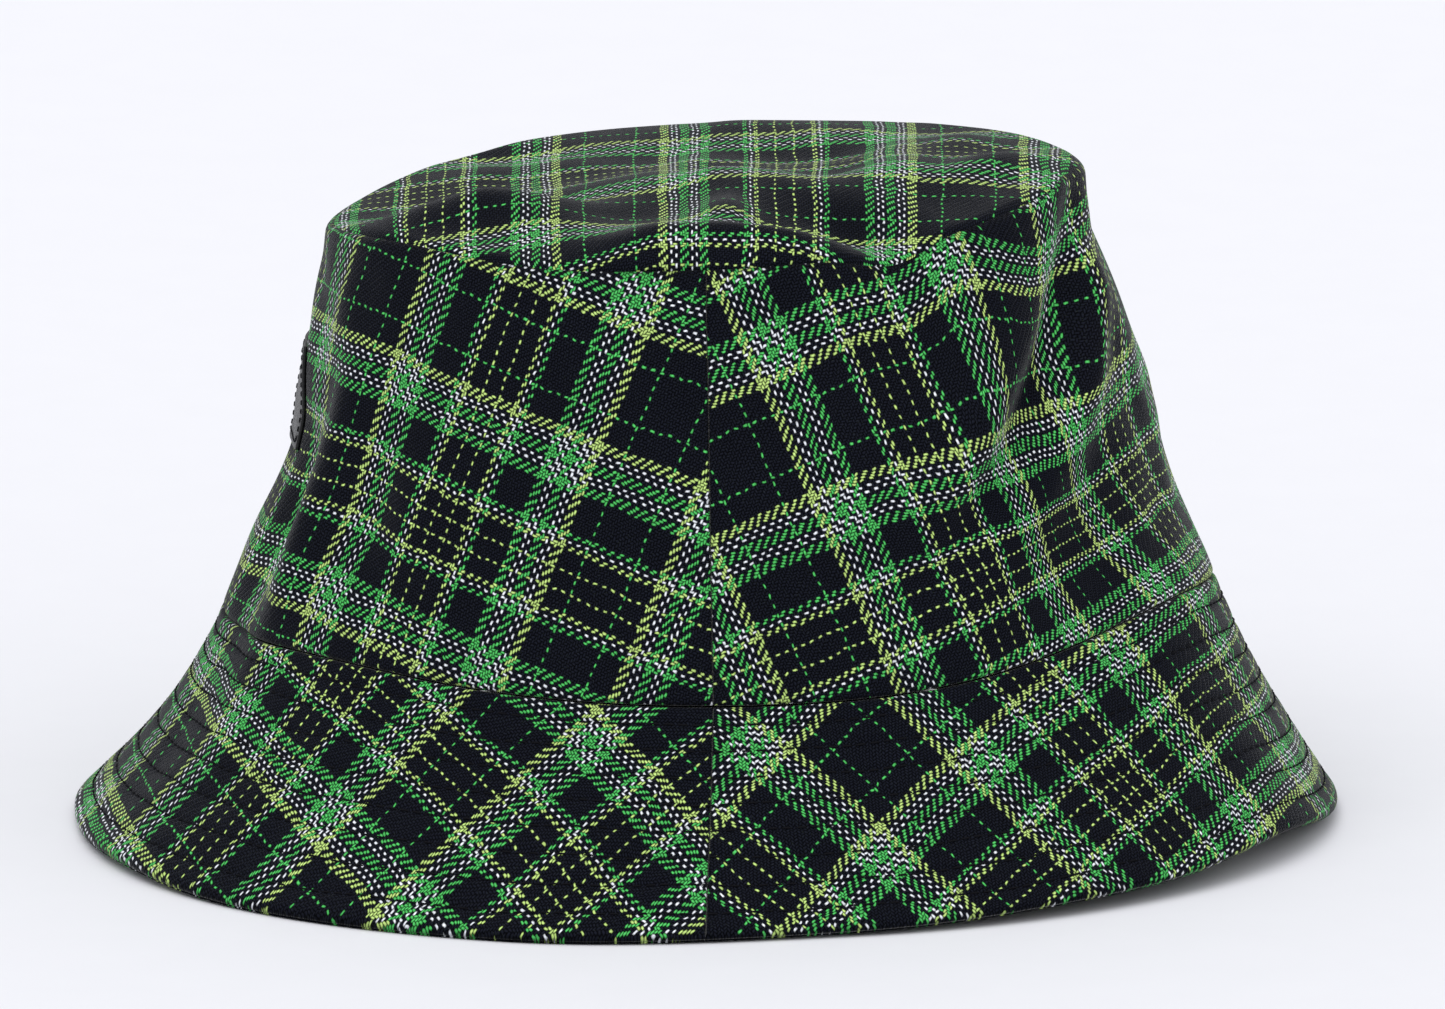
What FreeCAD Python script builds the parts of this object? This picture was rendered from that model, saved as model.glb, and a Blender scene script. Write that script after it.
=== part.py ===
"""Bucket hat: a plaid twill shell in panels, a lining, a sweatband, a stiffened double brim and its threads.

Millimetres, +Z up. The hat stands on its brim at z = 0, with its front at -Y and its side seams at +X and -X.
Every cloth piece is a sheet: a patch of the hat's outer surface, given a depth below or above that surface.
"""

import FreeCAD
import Part

import math
import os

Vector = FreeCAD.Vector

# Half lengths of the three ovals, along Y (front to back) and along X (side to side).
TIP_LONG, TIP_WIDE = 76.0, 65.5
HEAD_LONG, HEAD_WIDE = 102.0, 86.5
EDGE_LONG, EDGE_WIDE = 131.0, 115.5

# Heights of the head seam and of the tip seam, and how the soft crown settles.
HEAD_HEIGHT = 42.5
TIP_HEIGHT = 130.0
TIP_RISE = 6.5          # the tip stands this much higher at the back, and lower at the front
TIP_DISH = 3.0          # the tip sags this much in its middle
FRONT_LIFT = 2.0        # the brim's ends curl up off the table
BACK_LIFT = 6.0
BRIM_FLARE = 0.15       # share of the brim's spread that comes late, so that it flares
WALL_BULGE = 0.12       # share of the crown's taper that comes late, so that it bulges

# Cloth thicknesses.
SHELL_CLOTH = 0.9
INTERLINING = 0.8
LINING_CLOTH = 0.4
SWEATBAND_TAPE = 0.8
LABEL_TAPE = 0.8
THREAD_WIDTH = 0.5
THREAD_THICKNESS = 0.3

# Depths below the outer surface at which the inner layers start.
INTERLINING_DEPTH = SHELL_CLOTH + 0.1
UNDER_DEPTH = INTERLINING_DEPTH + INTERLINING + 0.1
LINING_DEPTH = SHELL_CLOTH + 0.7
SWEATBAND_DEPTH = LINING_DEPTH + LINING_CLOTH + 0.15
LINING_TIP_DEPTH = 2.3
PLY_GAP = 0.1           # between the two brim cloths where they close at the edge

# Sizes of the small pieces.
SWEATBAND_WIDTH = 32.0
STITCH_ROWS = 8
ROW_SPACING = 6.0
FIRST_ROW = 4.5
LABEL_WIDTH, LABEL_HEIGHT = 22.0, 24.0
LABEL_CENTRE = 0.56     # share of the crown's height
INNER_LABEL_WIDTH, INNER_LABEL_HEIGHT = 30.0, 18.0
LABEL_MARGIN = 1.5      # from a label's edge to its stitching
SEAM_GAP_DEG = 0.1      # half the gap between two panels at a seam

BRIM_WIDTH = math.hypot(HEAD_HEIGHT, EDGE_LONG - HEAD_LONG)
WALL_WIDTH = math.hypot(TIP_HEIGHT - HEAD_HEIGHT, HEAD_LONG - TIP_LONG)
MIDDLE_WIDE = (HEAD_WIDE + TIP_WIDE) / 2

FRONT = (-180.0 + SEAM_GAP_DEG, -SEAM_GAP_DEG)
BACK = (SEAM_GAP_DEG, 180.0 - SEAM_GAP_DEG)
FRONT_CENTRE, BACK_CENTRE = -90.0, 90.0


def smooth(t):
    """Rises from 0 to 1 with no corner."""
    t = min(1.0, max(0.0, t))
    return t * t * (3.0 - 2.0 * t)


def tip_height(y):
    return TIP_HEIGHT + TIP_RISE * y / TIP_LONG


def wall_point(angle, rise):
    """The crown's side. rise is 0 at the head seam and 1 at the tip seam."""
    c, s = math.cos(math.radians(angle)), math.sin(math.radians(angle))
    taper = rise * (1.0 - WALL_BULGE) + WALL_BULGE * rise * rise
    long = HEAD_LONG + (TIP_LONG - HEAD_LONG) * taper
    wide = HEAD_WIDE + (TIP_WIDE - HEAD_WIDE) * taper
    top = tip_height(TIP_LONG * s)
    return Vector(wide * c, long * s, HEAD_HEIGHT + (top - HEAD_HEIGHT) * rise)


def brim_point(angle, out):
    """The brim's upper side. out is 0 at the head seam and 1 at the edge."""
    c, s = math.cos(math.radians(angle)), math.sin(math.radians(angle))
    spread = out * (1.0 - BRIM_FLARE) + BRIM_FLARE * out * out
    long = HEAD_LONG + (EDGE_LONG - HEAD_LONG) * spread
    wide = HEAD_WIDE + (EDGE_WIDE - HEAD_WIDE) * spread
    edge = (FRONT_LIFT if s < 0 else BACK_LIFT) * smooth((abs(s) - 0.75) / 0.25)
    return Vector(wide * c, long * s, HEAD_HEIGHT + (edge - HEAD_HEIGHT) * out)


def placed(surface, angle, along, depth):
    """A point that far below the outer surface, along the surface's own normal."""
    here = surface(angle, along)
    turn = surface(angle + 0.05, along) - surface(angle - 0.05, along)
    climb = surface(angle, along + 0.001) - surface(angle, along - 0.001)
    outward = turn.cross(climb)
    outward.normalize()
    if outward.dot(Vector(here.x, here.y, 0.0)) < 0:
        outward = -outward
    return here - outward * depth


def steps(low, high, count):
    return [low + (high - low) * i / (count - 1) for i in range(count)]


def solid_between(upper, lower):
    """The solid between two grids of points of the same size."""
    faces, rims = [], []
    for grid in (upper, lower):
        surface = Part.BSplineSurface()
        surface.interpolate(grid)
        u0, u1, v0, v1 = surface.bounds()
        faces.append(surface.toShape())
        rims.append([surface.uIso(u0), surface.uIso(u1), surface.vIso(v0), surface.vIso(v1)])
    for one, other in zip(*rims):
        faces.append(Part.makeRuledSurface(one.toShape(), other.toShape()))
    shell = Part.makeShell(faces)
    shell.sewShape()
    solid = Part.makeSolid(shell)
    if solid.Volume < 0:
        solid.reverse()
    return solid


def sheet(surface, angles, along, depth, thickness, columns=41, rows=9):
    """A cloth piece on one of the hat's surfaces. depth may be a number or a function of along."""
    start = depth if callable(depth) else lambda share: depth
    grids = []
    for extra in (0.0, thickness):
        grids.append([[placed(surface, a, t, start(t) + extra) for t in steps(*along, rows)]
                      for a in steps(*angles, columns)])
    return solid_between(*grids)


def tip_sheet(depth, thickness, inset):
    """An oval cloth disc across the top of the crown, inset from the tip seam."""
    margin = 3.0
    grids = []
    for extra in (depth, depth + thickness):
        grid = []
        for x in steps(-TIP_WIDE - margin, TIP_WIDE + margin, 15):
            row = []
            for y in steps(-TIP_LONG - margin, TIP_LONG + margin, 15):
                reach = (x / TIP_WIDE) ** 2 + (y / TIP_LONG) ** 2
                sag = TIP_DISH * max(0.0, 1.0 - reach) ** 2
                row.append(Vector(x, y, tip_height(y) - sag - extra))
            grid.append(row)
        grids.append(grid)
    oval = Part.Ellipse(Vector(0, TIP_LONG - inset, 0), Vector(TIP_WIDE - inset, 0, 0), Vector(0, 0, 0))
    cutter = Part.Face(Part.Wire(oval.toShape())).extrude(Vector(0, 0, 2 * TIP_HEIGHT))
    return solid_between(*grids).common(cutter).Solids[0]


def thread_round(surface, share, depth):
    """A thread round the hat in two halves, pressed flat on the cloth. share is its place on the surface."""
    half = THREAD_WIDTH / 2 / (BRIM_WIDTH if surface is brim_point else WALL_WIDTH)
    return [sheet(surface, angles, (share - half, share + half), depth, THREAD_THICKNESS, rows=3)
            for angles in (FRONT, BACK)]


def thread_across(angles, along, depth):
    """A short straight thread on the crown's side."""
    return sheet(wall_point, angles, along, depth, THREAD_THICKNESS, columns=7, rows=7)


def above_table(shape):
    """The cloth's edge rests flat, so nothing reaches below the table."""
    side = 4 * EDGE_LONG
    return shape.common(Part.makeBox(side, side, side, Vector(-side / 2, -side / 2, 0.0))).Solids[0]


def under_depth(out):
    """The under brim closes on the upper one over the last few millimetres."""
    closing = smooth((out - 0.95) / 0.05)
    return UNDER_DEPTH + (SHELL_CLOTH + PLY_GAP - UNDER_DEPTH) * closing


def half_angle(width, radius):
    return math.degrees(width / 2 / radius)


def row_places():
    """Where the rows of stitching lie, as shares of the brim's width."""
    return [(FIRST_ROW + ROW_SPACING * i) / BRIM_WIDTH for i in range(STITCH_ROWS)]


def shell_pieces():
    """The plaid twill panels."""
    wall_top = 1.0 - SHELL_CLOTH * 1.1 / WALL_WIDTH
    pieces = {"crown_tip": tip_sheet(0.0, SHELL_CLOTH, 0.0)}
    for half, angles in (("front", FRONT), ("back", BACK)):
        pieces["crown_side_" + half] = sheet(wall_point, angles, (0.0, wall_top), 0.0, SHELL_CLOTH)
        pieces["brim_top_" + half] = above_table(sheet(brim_point, angles, (0.002, 1.0), 0.0, SHELL_CLOTH))
        pieces["brim_under_" + half] = above_table(
            sheet(brim_point, angles, (0.002, 1.0), under_depth, SHELL_CLOTH, rows=33))
    return pieces


def inner_pieces():
    """The brim's stiffener, the lining and the sweatband."""
    lining_top = 1.0 - (LINING_TIP_DEPTH + LINING_CLOTH + 0.3) / WALL_WIDTH
    pieces = {"lining_tip": tip_sheet(LINING_TIP_DEPTH, LINING_CLOTH, LINING_DEPTH)}
    for half, angles in (("front", FRONT), ("back", BACK)):
        pieces["brim_interlining_" + half] = sheet(
            brim_point, angles, (0.01, 0.93), INTERLINING_DEPTH, INTERLINING)
        pieces["lining_side_" + half] = sheet(
            wall_point, angles, (0.01, lining_top), LINING_DEPTH, LINING_CLOTH)
    open_end = half_angle(1.0, HEAD_LONG)
    round_it = (BACK_CENTRE + open_end, BACK_CENTRE + 360.0 - open_end)
    pieces["sweatband"] = sheet(wall_point, round_it, (0.015, 0.015 + SWEATBAND_WIDTH / WALL_WIDTH),
                                SWEATBAND_DEPTH, SWEATBAND_TAPE, columns=81)
    return pieces


def label(centre, width, height, middle, depth):
    """A woven label at the middle of the crown's front or back."""
    spread = half_angle(width, MIDDLE_WIDE)
    share = height / 2 / WALL_WIDTH
    angles, along = (centre - spread, centre + spread), (middle - share, middle + share)
    return sheet(wall_point, angles, along, depth, LABEL_TAPE, columns=11, rows=5), angles, along


def label_threads(angles, along, depth):
    """Four runs of stitching inside a label's edges."""
    inset, short = half_angle(2 * LABEL_MARGIN, MIDDLE_WIDE), LABEL_MARGIN / WALL_WIDTH
    spread, tall = half_angle(THREAD_WIDTH, MIDDLE_WIDE), THREAD_WIDTH / 2 / WALL_WIDTH
    a0, a1, t0, t1 = angles[0] + inset, angles[1] - inset, along[0] + short, along[1] - short
    runs = [((a0 + 2 * spread, a1 - 2 * spread), (t - tall, t + tall)) for t in (t0, t1)]
    runs += [((a - spread, a + spread), (t0 + 2 * tall, t1 - 2 * tall)) for a in (a0, a1)]
    return Part.makeCompound([thread_across(*run, depth) for run in runs])


def label_pieces():
    on_top = -LABEL_TAPE - 0.1
    on_label = on_top - THREAD_THICKNESS - 0.05
    front, angles, along = label(FRONT_CENTRE, LABEL_WIDTH, LABEL_HEIGHT, LABEL_CENTRE, on_top)
    inner, _, _ = label(BACK_CENTRE, INNER_LABEL_WIDTH, INNER_LABEL_HEIGHT, LABEL_CENTRE,
                        LINING_DEPTH + LINING_CLOTH + 0.1)
    return {"front_label": front, "inner_label": inner,
            "front_label_threads": label_threads(angles, along, on_label)}


def thread_pieces():
    """The threads that hold the hat together, and the rows that stiffen the brim."""
    stand_off = THREAD_THICKNESS + 0.05
    between = (SHELL_CLOTH + LINING_DEPTH - THREAD_THICKNESS) / 2
    in_edge = (SHELL_CLOTH + UNDER_DEPTH - THREAD_THICKNESS) / 2
    on_band = SWEATBAND_DEPTH + SWEATBAND_TAPE + 0.05
    seam = half_angle(THREAD_WIDTH, HEAD_WIDE)
    rows = {
        "brim_needle_threads": [(brim_point, share, -stand_off) for share in row_places()],
        "brim_bobbin_threads": [(brim_point, share, under_depth(share) + SHELL_CLOTH + 0.05)
                                for share in row_places()],
        "brim_edge_seam_thread": [(brim_point, 0.94, in_edge)],
        "head_seam_thread": [(wall_point, 0.015, between)],
        "tip_seam_thread": [(wall_point, 1.0 - 1.45 / WALL_WIDTH, between)],
        "sweatband_thread": [(wall_point, 0.03, on_band)],
    }
    pieces = {name: Part.makeCompound([half for row in places for half in thread_round(*row)])
              for name, places in rows.items()}
    pieces["crown_side_seam_threads"] = Part.makeCompound(
        [thread_across((angle - seam, angle + seam), (0.03, 0.95), between) for angle in (0.0, 180.0)])
    return pieces


def main():
    os.makedirs("parts", exist_ok=True)
    pieces = {**shell_pieces(), **inner_pieces(), **label_pieces(), **thread_pieces()}
    whole = FreeCAD.BoundBox()
    for name, shape in pieces.items():
        print(f"{name:26s} valid {shape.isValid()}  solids {len(shape.Solids)}  volume {shape.Volume:9.1f}")
        whole.add(shape.BoundBox)
        shape.exportStep(f"parts/{name}.step")
    print("overall", whole)


main()
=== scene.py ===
"""The looks of a plaid bucket hat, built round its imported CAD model.

Shapes are worked out in millimetres, +Z up, with the hat's front at -Y, and become metres when a mesh
is made. A place on the hat is an angle round it, in degrees from its +X side seam, and a share of the way
along a panel.
"""

import math

import bpy
import numpy as np
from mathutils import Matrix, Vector


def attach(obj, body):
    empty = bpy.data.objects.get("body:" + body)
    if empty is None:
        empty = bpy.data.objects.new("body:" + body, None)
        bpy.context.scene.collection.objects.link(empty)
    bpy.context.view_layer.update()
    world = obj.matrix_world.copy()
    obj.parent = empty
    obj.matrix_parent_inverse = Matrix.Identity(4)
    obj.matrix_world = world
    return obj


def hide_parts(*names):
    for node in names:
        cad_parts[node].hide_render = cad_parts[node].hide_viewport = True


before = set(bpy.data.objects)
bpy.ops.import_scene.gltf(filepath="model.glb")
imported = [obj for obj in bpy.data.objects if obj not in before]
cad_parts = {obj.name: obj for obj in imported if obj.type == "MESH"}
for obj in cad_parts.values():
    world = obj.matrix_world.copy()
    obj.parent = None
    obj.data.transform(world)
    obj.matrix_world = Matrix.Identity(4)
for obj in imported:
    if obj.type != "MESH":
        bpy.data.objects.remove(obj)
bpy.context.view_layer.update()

MM = 0.001

# Half lengths of the three ovals, along Y and along X, and the heights of the seams, as in the CAD model.
TIP_LONG, TIP_WIDE = 76.0, 65.5
HEAD_LONG, HEAD_WIDE = 102.0, 86.5
EDGE_LONG, EDGE_WIDE = 131.0, 115.5
HEAD_HEIGHT, TIP_HEIGHT = 42.5, 130.0
TIP_RISE = 6.5          # the tip seam's back end is this much higher, and its front end lower
EDGE_HEIGHT = 1.9       # the edge's upper side, with the under cloth below it on the table
BRIM_WIDTH = math.hypot(HEAD_HEIGHT, EDGE_LONG - HEAD_LONG)
WALL_WIDTH = math.hypot(TIP_HEIGHT - HEAD_HEIGHT, HEAD_LONG - TIP_LONG)
HEAD_SHIFT = 1.5        # the head seam has slipped this far back
TIP_DOME = 1.6          # the tip's middle stands this much higher than its seam
WALL_BULGE = 0.12       # how much the crown's slope curves inwards

# The soft brim in front: on the near side it is wider and its outline fuller, on the far side slimmer.
EDGE_SPREAD, NEAR_FULLER, FAR_SLIMMER = 6.5, 0.19, 0.15
FRONT_FLARE, BACK_FLARE = 0.50, 0.28        # how much the brim's slope curves outwards
FRONT_END, FRONT_EASE = -5.0, 70.0          # where front turns to back, and over what length

WALL_RIPPLE, BRIM_RIPPLE, TIP_RIPPLE = 0.7, 0.5, 0.9        # heights of the small creases
INNER_POINT = np.array([0.0, 0.0, 0.4 * TIP_HEIGHT])        # within the head, for telling in from out

# Thicknesses and depths of the layers below the outer surface.
SHELL_CLOTH, INTERLINING, LINING_CLOTH, TAPE = 0.9, 0.8, 0.4, 0.8
INTERLINING_DEPTH = 1.0
UNDER_DEPTH = 1.9
LINING_DEPTH = 1.7
SWEATBAND_DEPTH = 2.3
LINING_TIP_DEPTH = 2.6
SWEATBAND_WIDTH = 32.0

# Stitching: its rows on the brim, how deep it pulls into the cloth, and how wide the cloth dips along it.
STITCH_ROWS, FIRST_ROW, ROW_SPACING = 8, 4.5, 6.0
STITCH_LENGTH, STITCH_GAP, THREAD_WIDTH = 2.5, 0.45, 0.42
STITCH_SUNK, ROW_DIP, DIP_WIDTH = 0.22, 0.32, 0.9

# Radii with which cloth turns in: a panel's at the head seam and at its other edge, then at the side seams
# and round the tip.
CROWN_ROLLS, BRIM_TOP_ROLLS, BRIM_UNDER_ROLLS = (1.4, 2.6), (1.2, 1.5), (0.5, 1.2)
SIDE_ROLL, TIP_ROLL = 0.9, 2.8
# Distances from a seam at which a panel and the tip have points, and the spacing that shows the dips along
# stitching.
SEAM_POINTS = np.array([0.0, 0.15, 0.35, 0.6, 0.9, 1.3, 1.8, 2.5, 3.4])
RIM_POINTS = np.array([4.0, 3.3, 2.7, 2.2, 1.7, 1.3, 0.9, 0.6, 0.35, 0.15, 0.0])
DIP_STEP = 0.6
TIP_REACH = 70.0        # about the tip's radius, to turn shares of it into millimetres
CENTRE_SHARE = 0.012    # the tip's first points are this near its middle

# The labels' widths and heights, the share at which their middles are, how far in the front one's stitches
# are from its edges, and the gaps between each label and what it lies on.
FRONT_LABEL, INNER_LABEL = (22.0, 24.0), (30.0, 18.0)
LABEL_SHARE, LABEL_MARGIN = 0.56, 1.5
LABEL_GAP, INNER_LABEL_GAP = 0.05, 0.15

HALVES = {"front": (-180.0, 0.0), "back": (0.0, 180.0)}        # the angles that each half covers

# The flat cloth is cut from cones: their slant radius at the head seam.
HEAD_SUM = HEAD_LONG + HEAD_WIDE
WALL_RADIUS = WALL_WIDTH / (1.0 - (TIP_LONG + TIP_WIDE) / HEAD_SUM)
BRIM_RADIUS = BRIM_WIDTH / ((EDGE_LONG + EDGE_WIDE) / HEAD_SUM - 1.0)

# Thread pitches across and along the cloth, and where each panel's plaid has its dark window's centre.
WARP_PITCH, WEFT_PITCH = 0.489, 0.553
WINDOW = {"crown_front": (113.3, 84.2), "crown_back": (-119.1, 74.2),
          "brim_front": (102.5, -29.5), "brim_back": (-115.5, 30.3), "tip": (53.9, -26.5)}

# Half of the plaid's repeat, from the middle of one dark window to the middle of the other, in threads.
STRIPE = [("lime", 4), ("navy", 1), ("white", 1), ("navy", 1), ("white", 1), ("navy", 1), ("green", 4),
          ("navy", 1), ("white", 1), ("navy", 1), ("white", 1), ("navy", 1), ("green", 4)]
HALF_REPEAT = ([("navy", 10.5), ("green", 1), ("navy", 10)] + STRIPE
               + [("navy", 15), ("green", 2), ("navy", 1), ("white", 1), ("navy", 1), ("lime", 2),
                  ("navy", 7), ("lime", 1), ("navy", 3.5)])
YARN = {"navy": (0.0085, 0.0098, 0.0165), "green": (0.082, 0.51, 0.118),
        "lime": (0.51, 0.71, 0.21), "white": (0.80, 0.83, 0.88)}

# How the soft hat has settled. Heights of the two seams: (angle, width in degrees, rise in mm).
HEAD_WAVES = [(-50.0, 24.0, 2.6), (66.0, 30.0, 10.0), (105.0, 30.0, 3.0)]
TIP_WAVES = [(-58.0, 30.0, 4.6), (31.0, 8.0, -3.6), (20.0, 20.0, -1.2), (78.0, 22.0, 1.6),
             (212.0, 30.0, 2.4)]
EDGE_WAVES = [(66.0, 15.0, 5.0), (40.0, 18.0, 2.2), (-68.0, 13.0, 1.6)]
# Folds in the crown's side: (angle, share, width in degrees, width in share, depth in mm, degrees it leans).
WALL_FOLDS = [(-88.0, 0.42, 34.0, 0.28, -5.6, 0.0), (-64.0, 0.28, 5.5, 0.22, 3.4, 6.0),
              (-75.0, 0.26, 7.0, 0.24, -4.4, 6.0), (-52.0, 0.36, 7.0, 0.10, -2.2, 0.0),
              (88.0, 0.00, 50.0, 0.17, 1.6, 0.0), (88.0, 0.86, 18.0, 0.10, -2.2, 0.0),
              (-62.0, 0.70, 6.0, 0.26, 1.5, -6.0), (-48.0, 0.62, 7.0, 0.30, -1.3, -4.0),
              (51.5, 0.58, 6.0, 0.30, -5.6, 66.0), (62.0, 0.60, 7.0, 0.28, 3.4, 66.0),
              (38.0, 0.52, 9.0, 0.30, 1.6, 24.0), (150.0, 0.50, 16.0, 0.40, -2.0, 20.0),
              (-140.0, 0.55, 18.0, 0.40, 1.6, 10.0), (88.0, 0.24, 40.0, 0.16, -1.8, 0.0),
              (-90.0, 1.00, 30.0, 0.09, 1.9, 0.0), (90.0, 1.00, 30.0, 0.10, 1.5, 0.0)]
# Folds in the tip: (x, y, half width along x, half width along y, rise in mm, degrees turned). These rows
# weren't chosen by hand. A separate script fitted them to heights worked out from the photo.
TIP_FOLDS = [(9.0, 4.0, 14.0, 30.0, 5.2, -25.0), (9.0, 60.0, 8.0, 18.0, 4.2, 50.0),
             (58.0, 11.0, 8.0, 18.0, 7.6, 0.0), (30.0, -45.0, 10.0, 26.0, 5.0, -25.0),
             (37.0, 4.0, 7.0, 12.0, 5.0, 90.0), (44.0, 32.0, 7.0, 12.0, -3.4, -50.0),
             (-12.0, 53.0, 8.0, 18.0, 2.8, 90.0), (9.0, 39.0, 10.0, 26.0, 4.2, 90.0),
             (-47.0, -45.0, 8.0, 18.0, -2.6, -25.0), (-26.0, 18.0, 8.0, 18.0, -1.7, -25.0),
             (58.0, -10.0, 10.0, 26.0, 3.5, 90.0), (58.0, -17.0, 10.0, 26.0, 4.3, -25.0),
             (23.0, -38.0, 10.0, 26.0, 4.7, 0.0), (-54.0, 4.0, 14.0, 30.0, 1.1, 0.0)]

# The crown's long crease takes in cloth. In degrees: where that starts, how far the start leans, where it
# ends, and how softly it starts and ends. Then the millimetres taken in: across the panel, with their middle
# and spread as shares, and up the panel, at the head seam and how much more at the tip seam.
CREASE_FROM, CREASE_LEAN, CREASE_TO, CREASE_EASE, CREASE_FADE = 33.0, 5.0, 140.0, 24.0, 72.0
CREASE_ACROSS, CREASE_SHARE, CREASE_TALL, CREASE_UP, CREASE_UP_MORE = 26.0, 0.38, 0.38, 1.0, 15.0
# A pucker beside the crease: (angle, width in degrees, share, width in share, millimetres taken in).
PUCKER = (41.0, 11.0, 0.46, 0.18, 6.0)
# The tip's folds take in cloth too. Behind the middle: how much, from where and over what length. Towards the
# front: which part of the length, and from where.
TIP_TAKEN, TIP_TAKEN_FROM, TIP_TAKEN_EASE = 10.5, 22.0, 24.0
TIP_SHORT, TIP_SHORT_FROM = 0.045, 16.0
TIP_EDGE = 0.90         # share beyond which the tip falls steeply to its seam


# ---------------------------------------------------------------- the hat's surfaces

def bump(distance, width):
    """A soft hill, 1 high."""
    return np.exp(-(distance / width) ** 2)


def smooth(value):
    """An even step from 0 to 1."""
    value = np.clip(value, 0.0, 1.0)
    return value * value * (3.0 - 2.0 * value)


def apart(angle, centre):
    """Degrees from one angle to another, the short way round."""
    return (angle - centre + 180.0) % 360.0 - 180.0


def waves(angle, places):
    """How much a seam rises at an angle."""
    return sum(rise * bump(apart(angle, centre), width) for centre, width, rise in places)


def ripple(x, y, height):
    """Small soft creases, up to that many millimetres."""
    one = np.sin(x / 9.0 + 1.4 * np.sin(y / 13.0)) * np.sin(y / 8.0 + 1.2 * np.sin(x / 11.0 + 0.7))
    two = np.sin((x + 0.6 * y) / 4.6 + 1.6 * np.sin(y / 7.0 + 0.4)) * np.sin((y - 0.4 * x) / 6.3 + 1.1)
    return height * (0.7 * one + 0.3 * two)


def off_seams(share):
    """1 on a panel, down to 0 at its two seams."""
    return smooth(8.0 * share * (1.0 - share))


def oval(angle, long, wide):
    """X and Y on an oval, from its half lengths along Y and X."""
    turn = np.radians(angle)
    return wide * np.cos(turn), long * np.sin(turn)


def wall(angle, share):
    """The crown's side: 0 at the head seam and 1 at the tip seam."""
    taper = share * (1.0 - WALL_BULGE) + WALL_BULGE * share ** 2
    long, wide = HEAD_LONG + (TIP_LONG - HEAD_LONG) * taper, HEAD_WIDE + (TIP_WIDE - HEAD_WIDE) * taper
    x, y = oval(angle, long, wide)
    y = y + HEAD_SHIFT * (1.0 - share)
    out_x, out_y = oval(angle, 1.0 / HEAD_LONG, 1.0 / HEAD_WIDE)
    reach = np.hypot(out_x, out_y)
    fold = sum(depth * bump(apart(angle, centre + lean * (share - at)), spread) * bump(share - at, tall)
               for centre, at, spread, tall, depth, lean in WALL_FOLDS)
    fold = fold + ripple(np.radians(angle) * HEAD_LONG, share * WALL_WIDTH, WALL_RIPPLE) * off_seams(share)
    low, high = head_height(angle), tip_height(angle)
    return np.stack([x + fold * out_x / reach, y + fold * out_y / reach, low + (high - low) * share], -1)


def brim(angle, share):
    """The brim's upper side: 0 at the head seam and 1 at the edge."""
    start = wall(angle, np.zeros_like(share))
    side, y = oval(angle, EDGE_LONG, 1.0)
    front = smooth(0.5 - (y - FRONT_END) / FRONT_EASE)
    near = np.where(side > 0.0, front, 0.0)
    power = 1.0 - NEAR_FULLER * near + FAR_SLIMMER * (front - near)
    x = (EDGE_WIDE + EDGE_SPREAD * near) * np.sign(side) * np.abs(side) ** power
    end = np.stack([x, y, EDGE_HEIGHT + waves(angle, EDGE_WAVES)], -1)
    flare = BACK_FLARE + (FRONT_FLARE - BACK_FLARE) * front
    spread = share * (1.0 - flare) + flare * share ** 2
    across = start + (end - start) * spread[..., None]
    soft = ripple(np.radians(angle) * EDGE_LONG, share * BRIM_WIDTH + 40.0, BRIM_RIPPLE) * off_seams(share)
    across[..., 2] = start[..., 2] + (end[..., 2] - start[..., 2]) * share + soft
    return across


def head_height(angle):
    return HEAD_HEIGHT + waves(angle, HEAD_WAVES)


def tip_height(angle):
    return TIP_HEIGHT + TIP_RISE * np.sin(np.radians(angle)) + waves(angle, TIP_WAVES)


def tip(angle, share):
    """The tip: 0 in the middle and 1 at the tip seam."""
    seam = wall(angle, np.ones_like(share))
    x, y = seam[..., 0] * share, seam[..., 1] * share
    height = TIP_HEIGHT + TIP_RISE * y / TIP_LONG + TIP_DOME * (1.0 - share ** 6)
    height = height + waves(angle, TIP_WAVES) * share ** 3
    within = 1.0 - share ** 8
    for x0, y0, half_x, half_y, rise, turned in TIP_FOLDS:
        c, s = math.cos(math.radians(turned)), math.sin(math.radians(turned))
        along, across = (x - x0) * c + (y - y0) * s, (y - y0) * c - (x - x0) * s
        height = height + rise * bump(along, half_x) * bump(across, half_y) * within
    height = height + ripple(0.8 * x, y, TIP_RIPPLE) * within
    return np.stack([x, y, height], -1)


def outward(surface, angle, share):
    """The surface's own normal, away from the head."""
    turn = surface(angle + 0.05, share) - surface(angle - 0.05, share)
    climb = surface(angle, share + 0.001) - surface(angle, share - 0.001)
    normal = np.cross(turn, climb)
    normal /= np.maximum(np.linalg.norm(normal, axis=-1, keepdims=True), 1e-9)
    from_inside = surface(angle, share) - INNER_POINT
    return normal * np.sign(np.sum(normal * from_inside, axis=-1, keepdims=True))


def below(surface, angle, share, depth):
    """Points that far below the outer surface."""
    angle, share = np.broadcast_arrays(np.asarray(angle, float), np.asarray(share, float))
    depth = np.broadcast_to(np.asarray(depth, float), angle.shape)
    return surface(angle, share) - outward(surface, angle, share) * depth[..., None]


def roll(distance, radius):
    """How far cloth turns in as it nears a seam."""
    near = np.clip(1.0 - distance / radius, 0.0, 1.0)
    return radius * (1.0 - np.sqrt(1.0 - near ** 2))


def spaced(length, step):
    """Shares from 0 to 1 along a length, set closer together at its two seams."""
    inner = np.linspace(SEAM_POINTS[-1], length - SEAM_POINTS[-1], int(length / step))[1:-1]
    return np.concatenate([SEAM_POINTS, inner, (length - SEAM_POINTS)[::-1]]) / length


# ---------------------------------------------------------------- the flat cloth

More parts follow.
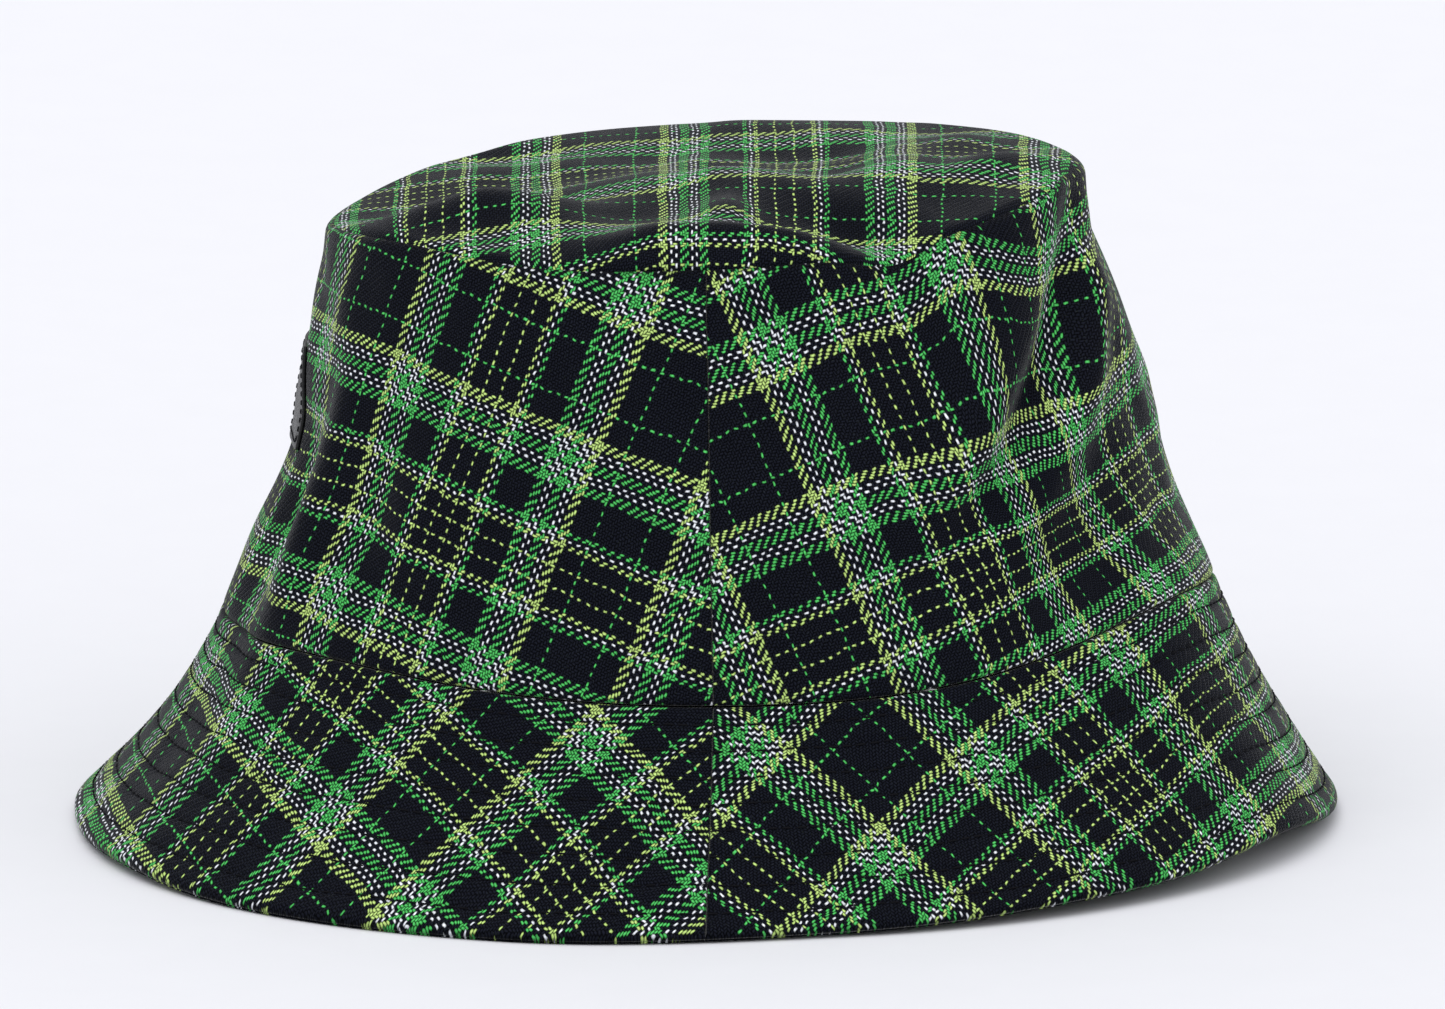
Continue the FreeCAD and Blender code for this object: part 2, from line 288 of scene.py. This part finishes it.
# Angles round the hat, and the length along the head seam up to each.
ROUND = np.linspace(-180.0, 180.0, 1441)
STEP = np.hypot(*np.diff(np.array(oval(ROUND, HEAD_LONG, HEAD_WIDE)), axis=1))
GIRTH = np.concatenate([[0.0], np.cumsum(STEP)])


def from_middle(angle, halves):
    """Length along the head seam from the middle of a front or back panel."""
    return np.interp(angle, ROUND, GIRTH) - np.interp((halves[0] + halves[1]) / 2, ROUND, GIRTH)


def taken_in(angle, share):
    """Millimetres of the crown's cloth that the long crease takes in, across and up the panel."""
    started = smooth((angle - CREASE_FROM - CREASE_LEAN * share) / CREASE_EASE)
    taken = started * smooth((CREASE_TO - angle) / CREASE_FADE)
    across = CREASE_ACROSS * taken * bump(share - CREASE_SHARE, CREASE_TALL)
    centre, spread, at, tall, most = PUCKER
    pucker = most * bump(angle - centre, spread) * bump(share - at, tall)
    return across, taken * (CREASE_UP + CREASE_UP_MORE * share) + pucker


def cut_wall(angle, share, halves):
    """Where a place on the crown's side is on its flat panel, whose grain is straight in the middle."""
    turn, radius = from_middle(angle, halves) / WALL_RADIUS, WALL_RADIUS - WALL_WIDTH * share
    across, up = taken_in(angle, share)
    return radius * np.sin(turn) + across, WALL_RADIUS - radius * np.cos(turn) + up


def cut_brim(angle, share, halves):
    """Where a place on the brim is on its flat panel, which reaches further in where the head seam rises."""
    turn = from_middle(angle, halves) / BRIM_RADIUS
    radius = BRIM_RADIUS + BRIM_WIDTH * share - waves(angle, HEAD_WAVES) * (1.0 - share)
    return radius * np.sin(turn), BRIM_RADIUS - radius * np.cos(turn)


def cut_tip(points, angle, share):
    """Where the tip's points are on its flat cloth, which also reaches down its steep edge."""
    x, y = points[..., 0], points[..., 1]
    steps = np.diff(points, axis=1, prepend=points[:, :1])
    steeper = np.linalg.norm(steps, axis=-1) - np.linalg.norm(steps[..., :2], axis=-1)
    down = np.cumsum(np.where(share > TIP_EDGE, steeper, 0.0), axis=1)
    taken = TIP_TAKEN * smooth((y - TIP_TAKEN_FROM) / TIP_TAKEN_EASE) - down * np.cos(np.radians(angle))
    across = y - TIP_SHORT * np.maximum(TIP_SHORT_FROM - y, 0.0) + down * np.sin(np.radians(angle))
    return across, taken - x


# ---------------------------------------------------------------- meshes

def mesh_object(name, points, faces, flat=None, edge=None):
    """A smooth piece through points in millimetres.

    flat is each point's place on its flat cloth, and edge how near a turned-in seam it is, from 0 to 1."""
    mesh = bpy.data.meshes.new(name)
    mesh.from_pydata((points * MM).tolist(), [], faces)
    mesh.shade_smooth()
    if flat is not None:
        layer = mesh.uv_layers.new(name="Cloth")
        corner = np.empty(len(mesh.loops), dtype=np.int32)
        mesh.loops.foreach_get("vertex_index", corner)
        layer.data.foreach_set("uv", flat[corner].astype(np.float32).ravel())
    if edge is not None:
        mesh.attributes.new("edge", "FLOAT", "POINT").data.foreach_set("value", edge.astype(np.float32))
    piece = bpy.data.objects.new(name, mesh)
    bpy.context.collection.objects.link(piece)
    return piece


def grid_faces(columns, rows, closed=False):
    """Quads between neighbouring points of a grid. A closed one's last column meets its first."""
    index = np.arange(columns * rows).reshape(columns, rows)
    after = np.roll(index, -1, axis=0) if closed else index[1:]
    before = index if closed else index[:-1]
    return np.stack([before[:, :-1], after[:, :-1], after[:, 1:], before[:, 1:]], -1).reshape(-1, 4)


def facing(points, faces, away):
    """The faces turned so that they look away from the head, or towards it."""
    a, b, c = (points[faces[:, k]] for k in range(3))
    look = np.cross(b - a, c - a)
    outwards = np.sum(look * (a - INNER_POINT)) > 0
    return faces if outwards == away else faces[:, ::-1]


def cloth(name, points, thickness, flat=None, edge=None, closed=False, away=True):
    """A cloth piece from a grid of points on its face. Its thickness goes behind the face.

    A closed grid goes right round, and its first row is filled in."""
    columns, rows = points.shape[:2]
    points = points.reshape(-1, 3)
    faces = facing(points, grid_faces(columns, rows, closed), away).tolist()
    if closed:
        middle = [column * rows for column in range(columns)]
        was_turned = faces[0][0] != 0
        faces.append(middle if was_turned else middle[::-1])
    piece = mesh_object(name, points, faces, None if flat is None else np.stack(flat, -1).reshape(-1, 2),
                        None if edge is None else edge.reshape(-1))
    thick = piece.modifiers.new("thickness", "SOLIDIFY")
    thick.thickness, thick.offset = thickness * MM, -1.0
    return piece


def finish_piece(piece, material, slot, *nodes):
    """Gives a piece its material, hangs it on the root body and hides the CAD pieces it stands for."""
    piece.data.materials.append(material)
    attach(piece, "root")
    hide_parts(*nodes)


def sewn(path, place, spacing=1.0, rings=5, sides=6):
    """Points and faces of a row of stitches, each a tube whose two ends dip into the cloth.

    path turns shares of the row into places on it, and place turns those and a lift into points."""
    height, sunk = 0.34, 0.3        # how thick a stitch is, and how deep its ends go
    end_width = 0.35                # of a stitch's full width
    lift = 0.2                      # a small step, to find which way is up
    line = place(path(np.linspace(0.0, 1.0, 400)), 0.0)
    total = np.sum(np.linalg.norm(np.diff(line, axis=0), axis=-1))
    count = max(2, int(total / ((STITCH_LENGTH + STITCH_GAP) * spacing)))
    stitch = STITCH_LENGTH / (STITCH_LENGTH + STITCH_GAP) / count
    along = np.linspace(0.0, 1.0, rings)
    shares = (np.arange(count) / count)[:, None] + along[None, :] * stitch
    arch = np.sqrt(np.maximum(0.0, 1.0 - (2.0 * along - 1.0) ** 6))
    dip = -sunk * (1.0 - arch)[None, :]
    base = place(path(shares), dip)
    up = place(path(shares), lift + dip) - base
    up /= np.linalg.norm(up, axis=-1, keepdims=True)
    ahead = np.gradient(base, axis=1)
    ahead /= np.linalg.norm(ahead, axis=-1, keepdims=True)
    side = np.cross(ahead, up)
    thin = (end_width + (1.0 - end_width) * arch)[None, :, None, None]
    turn = np.linspace(0.0, 2.0 * np.pi, sides, endpoint=False)[None, None, :, None]
    points = base[:, :, None] + thin * (side[:, :, None] * np.cos(turn) * THREAD_WIDTH / 2
                                        + up[:, :, None] * (np.sin(turn) + 0.6) * height / 2)
    one = tube_faces(rings, sides)
    faces = (one[None] + np.arange(count)[:, None, None] * rings * sides).reshape(-1, 4)
    return points.reshape(-1, 3), faces


def tube_faces(rings, sides):
    """Quads round a tube of four or six sides, and over its two ends."""
    wrap = np.array([[r * sides + sides - 1, (r + 1) * sides + sides - 1, (r + 1) * sides, r * sides]
                     for r in range(rings - 1)])
    start = np.array([[0, k, k + 1, k + 2] for k in range(1, sides - 2, 2)])
    return np.concatenate([grid_faces(rings, sides), wrap, start, (rings - 1) * sides + start[:, ::-1]])


def thread_piece(name, rows):
    """One piece from several rows of stitches."""
    points, faces, used = [], [], 0
    for row_points, row_faces in rows:
        points.append(row_points)
        faces.append(row_faces + used)
        used += len(row_points)
    return mesh_object(name, np.concatenate(points), np.concatenate(faces).tolist())


# ---------------------------------------------------------------- material nodes

class Nodes:
    """A new material's node tree, with short calls for the nodes used here."""

    def __init__(self, name, roughness, sheen=0.0, specular=0.3):
        self.material = bpy.data.materials.new(name)
        self.material.use_nodes = True
        self.tree = self.material.node_tree
        self.shader = self.tree.nodes["Principled BSDF"]
        self.shader.inputs["Roughness"].default_value = roughness
        self.shader.inputs["Sheen Weight"].default_value = sheen
        self.shader.inputs["Sheen Roughness"].default_value = 0.28
        self.shader.inputs["Specular IOR Level"].default_value = specular

    def put(self, socket, value):
        """Links an output to a socket, or sets the socket's own value."""
        if hasattr(value, "is_output"):
            self.tree.links.new(value, socket)
        else:
            socket.default_value = value

    def math(self, operation, *values):
        node = self.tree.nodes.new("ShaderNodeMath")
        node.operation = operation
        for socket, value in zip(node.inputs, values):
            self.put(socket, value)
        return node.outputs[0]

    def mix(self, factor, one, other, blend="MIX"):
        node = self.tree.nodes.new("ShaderNodeMix")
        node.data_type, node.blend_type = "RGBA", blend
        self.put(node.inputs["Factor"], factor)
        self.put(node.inputs["A"], one)
        self.put(node.inputs["B"], other)
        return node.outputs["Result"]

    def between(self, value, low, high, out_low, out_high):
        """A value's place between low and high, as one between out_low and out_high."""
        node = self.tree.nodes.new("ShaderNodeMapRange")
        for socket, given in zip(node.inputs, (value, low, high, out_low, out_high)):
            self.put(socket, given)
        return node.outputs["Result"]

    def noise(self, place, scale, detail):
        node = self.tree.nodes.new("ShaderNodeTexNoise")
        self.put(node.inputs["Vector"], place)
        node.inputs["Scale"].default_value = scale
        node.inputs["Detail"].default_value = detail
        return node.outputs["Fac"]

    def vector(self, x, y, z=0.0):
        node = self.tree.nodes.new("ShaderNodeCombineXYZ")
        for socket, value in zip(node.inputs, (x, y, z)):
            self.put(socket, value)
        return node.outputs["Vector"]

    def flat_cloth(self):
        """The place on the flat cloth, in millimetres: as a vector, and across and along it."""
        node = self.tree.nodes.new("ShaderNodeUVMap")
        node.uv_map = "Cloth"
        split = self.tree.nodes.new("ShaderNodeSeparateXYZ")
        self.put(split.inputs[0], node.outputs["UV"])
        return node.outputs["UV"], split.outputs["X"], split.outputs["Y"]

    def own_place(self):
        return self.tree.nodes.new("ShaderNodeTexCoord").outputs["Object"]

    def attribute(self, name):
        node = self.tree.nodes.new("ShaderNodeAttribute")
        node.attribute_name = name
        return node.outputs["Fac"]

    def finish(self, colour, height=None, distance=0.1, strength=0.6):
        """Sends the colour and the bump to the shader. distance is the bump's height in millimetres."""
        self.put(self.shader.inputs["Base Color"], colour)
        if height is not None:
            node = self.tree.nodes.new("ShaderNodeBump")
            node.inputs["Strength"].default_value = strength
            node.inputs["Distance"].default_value = distance * MM
            self.put(node.inputs["Height"], height)
            self.put(self.shader.inputs["Normal"], node.outputs["Normal"])
        return self.material


def thread_cells(n, across, along):
    """Which thread a place is on, and how far across it."""
    i, j = n.math("FLOOR", across), n.math("FLOOR", along)
    return i, j, n.math("SUBTRACT", across, i), n.math("SUBTRACT", along, j)


def yarn_colour(n, thread):
    """A thread's colour from its number, counted from the dark window's middle."""
    half = sum(count for _, count in HALF_REPEAT)
    folded = n.math("DIVIDE", n.math("PINGPONG", thread, half), half)
    ramp = n.tree.nodes.new("ShaderNodeValToRGB")
    ramp.color_ramp.interpolation = "CONSTANT"
    stops, at = ramp.color_ramp.elements, 0.0
    for k, (yarn, count) in enumerate(HALF_REPEAT):
        stop = stops[k] if k < 2 else stops.new(at / half)
        stop.position, stop.color = at / half, (*YARN[yarn], 1.0)
        at += count
    n.put(ramp.inputs["Fac"], folded)
    return ramp.outputs["Color"]


def twill(n, across, along):
    """Two-up two-down twill: its threads' numbers, 1 where the warp is on top, and the top one's height."""
    i, j, part_i, part_j = thread_cells(n, across, along)
    step = n.math("FLOORED_MODULO", n.math("SUBTRACT", i, j), 4.0)
    warp_up = n.math("LESS_THAN", step, 1.5)
    on_warp = n.math("FLOORED_MODULO", n.math("ADD", n.math("SUBTRACT", along, i), 1.0), 4.0)
    on_weft = n.math("FLOORED_MODULO", n.math("SUBTRACT", n.math("SUBTRACT", across, j), 2.0), 4.0)
    heights = []
    for float_place, thread_place in ((on_weft, part_j), (on_warp, part_i)):
        long = n.math("SINE", n.math("MULTIPLY", float_place, math.pi / 2))
        round_it = n.math("SINE", n.math("MULTIPLY", thread_place, math.pi))
        product = n.math("MAXIMUM", n.math("MULTIPLY", long, round_it), 0.0)
        heights.append(n.math("POWER", product, 0.85))
    difference = n.math("SUBTRACT", heights[1], heights[0])
    return i, j, warp_up, n.math("MULTIPLY_ADD", warp_up, difference, heights[0])


def thread_sway(n, place):
    """How far threads wander from straight, in threads, about the half thread that centres the middle one."""
    drift, bend, shake = (n.noise(place, scale, 1.0) for scale in (0.03, 0.16, 0.9))
    parts = [n.math("MULTIPLY", n.math("SUBTRACT", noise, 0.5), reach)
             for noise, reach in ((drift, 3.5), (bend, 2.4), (shake, 0.7))]
    return n.math("ADD", n.math("ADD", parts[0], parts[1]), n.math("ADD", parts[2], 0.5))


def plaid_material():
    """Brushed two-up two-down twill in navy, green, lime and white yarns."""
    n = Nodes("plaid_twill", roughness=0.95, sheen=0.23, specular=0.04)
    place, across, along = n.flat_cloth()
    across = n.math("ADD", n.math("DIVIDE", across, WARP_PITCH), thread_sway(n, place))
    along = n.math("ADD", n.math("DIVIDE", along, WEFT_PITCH), thread_sway(n, n.vector(along, across, 7.0)))
    i, j, warp_up, height = twill(n, across, along)
    colour = n.mix(warp_up, yarn_colour(n, j), yarn_colour(n, i))
    mottled = n.noise(n.vector(n.math("MULTIPLY", across, 0.9), n.math("MULTIPLY", along, 0.9)), 1.0, 2.0)
    faded = n.noise(place, 0.06, 3.0)
    # Painted shade and highlight: the twill's height darkens the gaps between floats and their ends, and
    # brightens their crowns. The mottling beside it is the yarn's own uneven tone.
    light = n.math("MULTIPLY", n.between(height, 0.06, 0.84, 0.08, 1.22),
                   n.between(mottled, 0.25, 0.75, 0.62, 1.28))
    light = n.math("MULTIPLY", light, n.between(faded, 0.3, 0.7, 0.93, 1.07))
    # Painted shade in the seams: the cloth is darkened where it turns in at a seam.
    light = n.math("MULTIPLY", light, n.between(n.attribute("edge"), 0.0, 1.0, 1.0, 0.55))
    colour = n.mix(1.0, colour, n.vector(light, light, light), "MULTIPLY")
    nap = n.noise(n.vector(n.math("MULTIPLY", across, 0.55), n.math("MULTIPLY", along, 2.2)), 1.3, 4.0)
    fluff = n.between(nap, 0.60, 0.82, 0.0, 0.16)
    colour = n.mix(fluff, colour, (0.20, 0.25, 0.21, 1.0))
    surface = n.math("ADD", height, n.math("MULTIPLY", nap, 0.7))
    return n.finish(colour, surface, distance=0.16, strength=0.55)


def woven_material(name, colour, pitch, contrast, roughness, sheen, ribs=1.0):
    """A one-colour cloth with visible plain weave; ribs stretches its threads one way."""
    n = Nodes(name, roughness=roughness, sheen=sheen)
    place, across, along = n.flat_cloth()
    across, along = n.math("DIVIDE", across, pitch), n.math("DIVIDE", along, pitch * ribs)
    i, j, part_i, part_j = thread_cells(n, across, along)
    over = n.math("FLOORED_MODULO", n.math("ADD", i, j), 2.0)
    first = n.math("SINE", n.math("MULTIPLY", part_i, math.pi))
    second = n.math("SINE", n.math("MULTIPLY", part_j, math.pi))
    height = n.math("MULTIPLY_ADD", over, n.math("SUBTRACT", first, second), second)
    patchy = n.noise(place, 0.12, 3.0)
    # Painted shade: the weave's height darkens the low places between threads, by contrast. The patchiness
    # beside it is the cloth's own uneven tone.
    light = n.math("MULTIPLY", n.between(height, 0.0, 1.0, 1.0 - contrast, 1.0),
                   n.between(patchy, 0.3, 0.7, 0.88, 1.12))
    tone = n.mix(1.0, (*colour, 1.0), n.vector(light, light, light), "MULTIPLY")
    return n.finish(tone, height, distance=0.08, strength=0.5)


def fleece_material():
    """Nonwoven stiffener: random matted fibres."""
    n = Nodes("interlining_fleece", roughness=0.95)
    place = n.own_place()
    fine, coarse = n.noise(place, 2600.0, 4.0), n.noise(place, 420.0, 3.0)
    light = n.math("ADD", n.math("MULTIPLY", fine, 0.4), n.math("MULTIPLY", coarse, 0.4))
    colour = n.mix(light, (0.52, 0.52, 0.50, 1.0), (0.88, 0.88, 0.85, 1.0))
    return n.finish(colour, fine, distance=0.1)


def thread_material():
    """Black sewing thread with a little lint."""
    n = Nodes("black_sewing_thread", roughness=0.85, specular=0.08)
    place = n.own_place()
    twist, lint = n.noise(place, 3500.0, 2.0), n.noise(place, 240.0, 3.0)
    colour = n.mix(twist, (0.002, 0.002, 0.003, 1.0), (0.009, 0.009, 0.012, 1.0))
    colour = n.mix(n.between(lint, 0.66, 0.84, 0.0, 0.18), colour, (0.05, 0.055, 0.06, 1.0))
    return n.finish(colour, twist, distance=0.06)


# ---------------------------------------------------------------- the hat's pieces

def seam_distance(angle, long):
    """Millimetres to the nearest side seam."""
    return np.radians(np.minimum(np.abs(apart(angle, 0.0)), np.abs(apart(angle, 180.0)))) * long


def plaid_panel(name, surface, cut, window, halves, width, rolls, depth=0.0, away=True, step=1.15,
                rows=()):
    """A twill panel of the crown or brim, turned in at its seams, with its plaid laid along its grain.

    rows are the shares at which stitching pulls the cloth in."""
    columns = halves[0] + (halves[1] - halves[0]) * spaced(GIRTH[-1] / 2, step)
    shares = spaced(width, DIP_STEP if rows else step)
    angle, share = np.meshgrid(columns, shares, indexing="ij")
    side = roll(seam_distance(angle, HEAD_LONG), SIDE_ROLL)
    low, high = roll(share * width, rolls[0]), roll((1.0 - share) * width, rolls[1])
    turned = np.maximum(side, np.maximum(low, high))
    dips = sum((ROW_DIP * bump((share - row) * width, DIP_WIDTH) for row in rows), np.zeros_like(share))
    points = below(surface, angle, share, depth + (turned + dips if away else -0.6 * turned - dips))
    u, v = cut(angle, share, halves)
    u0, v0 = WINDOW[window]
    # How near a turned-in seam each point is, for the painted shade in the seams.
    edge = np.clip(turned / 1.3, 0.0, 1.0)
    return cloth(name, points, SHELL_CLOTH, (u - u0, v - v0), edge, away=away)


def stitch_rows():
    """Shares of the brim's width at which its rows of stitching lie."""
    return [(FIRST_ROW + ROW_SPACING * k) / BRIM_WIDTH for k in range(STITCH_ROWS)]


def build_crown_sides(plaid):
    """The crown's front and back panels."""
    for half, halves in HALVES.items():
        piece = plaid_panel(f"crown_side_{half}_cloth", wall, cut_wall, f"crown_{half}", halves, WALL_WIDTH,
                            CROWN_ROLLS)
        finish_piece(piece, plaid, "plaid_twill", f"crown_side_{half}")


def build_brim(plaid):
    """The brim's upper and under cloth, in halves."""
    for half, halves in HALVES.items():
        top = plaid_panel(f"brim_top_{half}_cloth", brim, cut_brim, f"brim_{half}", halves, BRIM_WIDTH,
                          BRIM_TOP_ROLLS, step=1.5, rows=stitch_rows())
        finish_piece(top, plaid, "plaid_twill", f"brim_top_{half}")
        under = plaid_panel(f"brim_under_{half}_cloth", brim, cut_brim, f"brim_{half}", halves, BRIM_WIDTH,
                            BRIM_UNDER_ROLLS, UNDER_DEPTH + SHELL_CLOTH, away=False, step=2.0,
                            rows=stitch_rows())
        finish_piece(under, plaid, "plaid_twill", f"brim_under_{half}")


def build_tip(plaid):
    """The crown's crumpled tip, turned in all round."""
    columns = np.linspace(-180.0, 180.0, 361)[:-1]
    shares = np.concatenate([[CENTRE_SHARE], np.linspace(0.03, 0.93, 62), 1.0 - RIM_POINTS / TIP_REACH])
    angle, share = np.meshgrid(columns, shares, indexing="ij")
    turned = roll((1.0 - share) * TIP_REACH, TIP_ROLL)
    points = below(tip, angle, share, turned)
    u, v = cut_tip(points, angle, share)
    u0, v0 = WINDOW["tip"]
    # How near the turned-in tip seam each point is, for the painted shade there.
    edge = np.clip(turned / 1.6 - 0.35, 0.0, 1.0)
    piece = cloth("crown_tip_cloth", points, SHELL_CLOTH, (u - u0, v - v0), edge, closed=True)
    finish_piece(piece, plaid, "plaid_twill", "crown_tip")


def plain_sheet(name, surface, angles, shares, depth, thickness, columns=120, rows=24, away=True,
                closed=False):
    """An inner layer or label, which follows the hat's surface at its own depth."""
    turns = np.linspace(*angles, columns + 1)[:-1] if closed else np.linspace(*angles, columns)
    angle, share = np.meshgrid(turns, np.linspace(*shares, rows), indexing="ij")
    points = below(surface, angle, share, depth)
    length = {wall: WALL_WIDTH, brim: BRIM_WIDTH, tip: TIP_LONG}[surface]
    flat = (np.interp(angle, ROUND, GIRTH), share * length)
    return cloth(name, points, thickness, flat, closed=closed, away=away)


def build_interlining(half, start, end, fleece):
    """Half of the brim's stiffener, which stops short of the seams."""
    stiff = plain_sheet(f"brim_interlining_{half}_layer", brim, (start + 0.4, end - 0.4), (0.03, 0.93),
                        INTERLINING_DEPTH, INTERLINING)
    finish_piece(stiff, fleece, "interlining", f"brim_interlining_{half}")


def build_lining_side(half, start, end, lining):
    """Half of the lining's side."""
    side = plain_sheet(f"lining_side_{half}_cloth", wall, (start, end), (0.0, 0.988),
                       LINING_DEPTH + LINING_CLOTH, LINING_CLOTH, rows=40, away=False)
    finish_piece(side, lining, "lining_cloth", f"lining_side_{half}")


def build_lining_tip(lining):
    """The lining's top, which follows the crown's tip."""
    top = plain_sheet("lining_tip_cloth", tip, (-180.0, 180.0), (CENTRE_SHARE, 0.985),
                      LINING_TIP_DEPTH + LINING_CLOTH, LINING_CLOTH, away=False, closed=True)
    finish_piece(top, lining, "lining_cloth", "lining_tip")


def build_sweatband(tape):
    """The sweatband, which goes round from the middle of the back and leaves a small gap there."""
    band = plain_sheet("sweatband_tape", wall, (90.4, 449.6), (0.0, SWEATBAND_WIDTH / WALL_WIDTH),
                       SWEATBAND_DEPTH + TAPE, TAPE, columns=240, rows=20, away=False)
    finish_piece(band, tape, "sweatband_tape", "sweatband")


def label_span(centre, wide, tall):
    """The angles and the shares of the crown's side that a label covers."""
    spread, half = math.degrees(wide / (HEAD_WIDE + TIP_WIDE)), tall / 2 / WALL_WIDTH
    return (centre - spread, centre + spread), (LABEL_SHARE - half, LABEL_SHARE + half)


def build_labels(woven, white):
    """The blank woven label on the front, and the one inside the back."""
    label = plain_sheet("front_label_tape", wall, *label_span(-90.0, *FRONT_LABEL), -TAPE - LABEL_GAP, TAPE,
                        columns=30, rows=30)
    finish_piece(label, woven, "black_label_tape", "front_label")
    inner = plain_sheet("inner_label_tape", wall, *label_span(90.0, *INNER_LABEL),
                        LINING_DEPTH + LINING_CLOTH + INNER_LABEL_GAP + TAPE, TAPE,
                        columns=30, rows=20, away=False)
    finish_piece(inner, white, "white_label_tape", "inner_label")


def round_row(surface, share, depth, sign=1.0, **style):
    """A row of stitches right round the hat. sign is -1 for one that shows on the under side."""
    def path(along):
        return np.interp(along * GIRTH[-1], GIRTH, ROUND)

    def place(angle, lift):
        return below(surface, angle, share, depth - sign * lift)
    return sewn(path, place, **style)


def straight_row(surface, start, end, depth, **style):
    """A row of stitches from one (angle, share) to another."""
    def place(along, lift):
        angle, share = (a + (b - a) * along for a, b in zip(start, end))
        return below(surface, angle, share, depth - lift)
    return sewn(lambda along: along, place, **style)


def build_threads(material):
    """Every row of stitching, with the rows of each kind in one piece."""
    inside = {"rings": 3, "sides": 4}
    under = UNDER_DEPTH + SHELL_CLOTH - STITCH_SUNK
    needle = [round_row(brim, share, STITCH_SUNK) for share in stitch_rows()]
    bobbin = [round_row(brim, share, under, -1.0, **inside) for share in stitch_rows()]
    (left, right), (low, high) = label_span(-90.0, *(size - 2 * LABEL_MARGIN for size in FRONT_LABEL))
    corners = [(left, low), (right, low), (right, high), (left, high), (left, low)]
    label = [straight_row(wall, start, end, -TAPE - LABEL_GAP, spacing=0.6)
             for start, end in zip(corners, corners[1:])]
    between = (SHELL_CLOTH + LINING_DEPTH) / 2
    sides = [straight_row(wall, (angle, 0.03), (angle, 0.95), between, **inside) for angle in (0.0, 180.0)]
    rows = {
        "brim_needle_threads": needle, "brim_bobbin_threads": bobbin, "front_label_threads": label,
        "crown_side_seam_threads": sides,
        "brim_edge_seam_thread": [round_row(brim, 0.945, INTERLINING_DEPTH + 0.4, **inside)],
        "head_seam_thread": [round_row(wall, 0.015, between, **inside)],
        "tip_seam_thread": [round_row(wall, 0.955, between, **inside)],
        "sweatband_thread": [round_row(wall, 0.035, SWEATBAND_DEPTH + TAPE, -1.0)],
    }
    for node, made in rows.items():
        finish_piece(thread_piece(node.replace("_thread", "_stitch"), made), material, "black_thread", node)


# ---------------------------------------------------------------- floor, light and camera

def build_floor():
    """A wide pale table top at height 0."""
    floor = bpy.data.meshes.new("floor")
    half = 30.0
    corners = [(-half, -half, 0), (half, -half, 0), (half, half, 0), (-half, half, 0)]
    floor.from_pydata(corners, [], [(0, 1, 2, 3)])
    piece = bpy.data.objects.new("floor", floor)
    bpy.context.collection.objects.link(piece)
    n = Nodes("pale_floor", roughness=0.9, specular=0.1)
    speck = n.noise(n.own_place(), 60.0, 2.0)
    floor.materials.append(n.finish(n.mix(speck, (0.832, 0.832, 0.872, 1.0), (0.85, 0.85, 0.89, 1.0))))


def aim(piece, target):
    """Turns a lamp or camera to look at a point."""
    direction = target - piece.location
    piece.rotation_euler = direction.to_track_quat("-Z", "Y").to_euler()


def build_light():
    """A bright even room with two large soft lamps."""
    world = bpy.data.worlds.new("soft_room")
    world.use_nodes = True
    background = world.node_tree.nodes["Background"]
    background.inputs["Color"].default_value = (0.97, 0.98, 1.0, 1.0)
    background.inputs["Strength"].default_value = 0.80
    bpy.context.scene.world = world
    middle = Vector((0.0, 0.0, 0.06))
    lamps = [("key", (1.2, -0.9, 3.4), 1.0, 50.0), ("fill", (1.6, 2.2, 2.4), 0.25, 70.0)]
    for name, place, strength, softness in lamps:
        data = bpy.data.lights.new(name, "SUN")
        data.energy, data.angle = strength, math.radians(softness)
        lamp = bpy.data.objects.new(name, data)
        bpy.context.collection.objects.link(lamp)
        lamp.location = place
        aim(lamp, middle)


def build_camera():
    """A long lens at the hat's side, looking a little down."""
    distance, elevation, span, sensor = 10.0, math.radians(13.2), 0.298, 36.0
    data = bpy.data.cameras.new("camera")
    data.sensor_width, data.lens = sensor, sensor * distance / span
    data.clip_start, data.clip_end = 0.1, 100.0
    camera = bpy.data.objects.new("camera", data)
    bpy.context.collection.objects.link(camera)
    target = Vector((0.0, 0.0034, 0.0647))
    camera.location = target + Vector((math.cos(elevation), 0.0, math.sin(elevation))) * distance
    aim(camera, target)
    bpy.context.scene.camera = camera
    bpy.context.scene.view_settings.view_transform = "Standard"


def main():
    plaid = plaid_material()
    build_crown_sides(plaid)
    build_brim(plaid)
    build_tip(plaid)
    fleece = fleece_material()
    lining = woven_material("lining_weave", (0.010, 0.010, 0.013), pitch=0.35, contrast=0.5,
                            roughness=0.55, sheen=0.1)
    for half, (start, end) in HALVES.items():
        build_interlining(half, start, end, fleece)
        build_lining_side(half, start, end, lining)
    build_lining_tip(lining)
    build_sweatband(woven_material("sweatband_weave", (0.012, 0.012, 0.015), pitch=0.6, contrast=0.6,
                                   roughness=0.8, sheen=0.2, ribs=2.0))
    build_labels(woven_material("label_weave", (0.006, 0.006, 0.007), pitch=0.3, contrast=0.6,
                                roughness=0.45, sheen=0.1, ribs=3.0),
                 woven_material("inner_label_weave", (0.72, 0.72, 0.70), pitch=0.3, contrast=0.3,
                                roughness=0.5, sheen=0.1, ribs=3.0))
    build_threads(thread_material())
    build_floor()
    build_light()
    build_camera()


main()
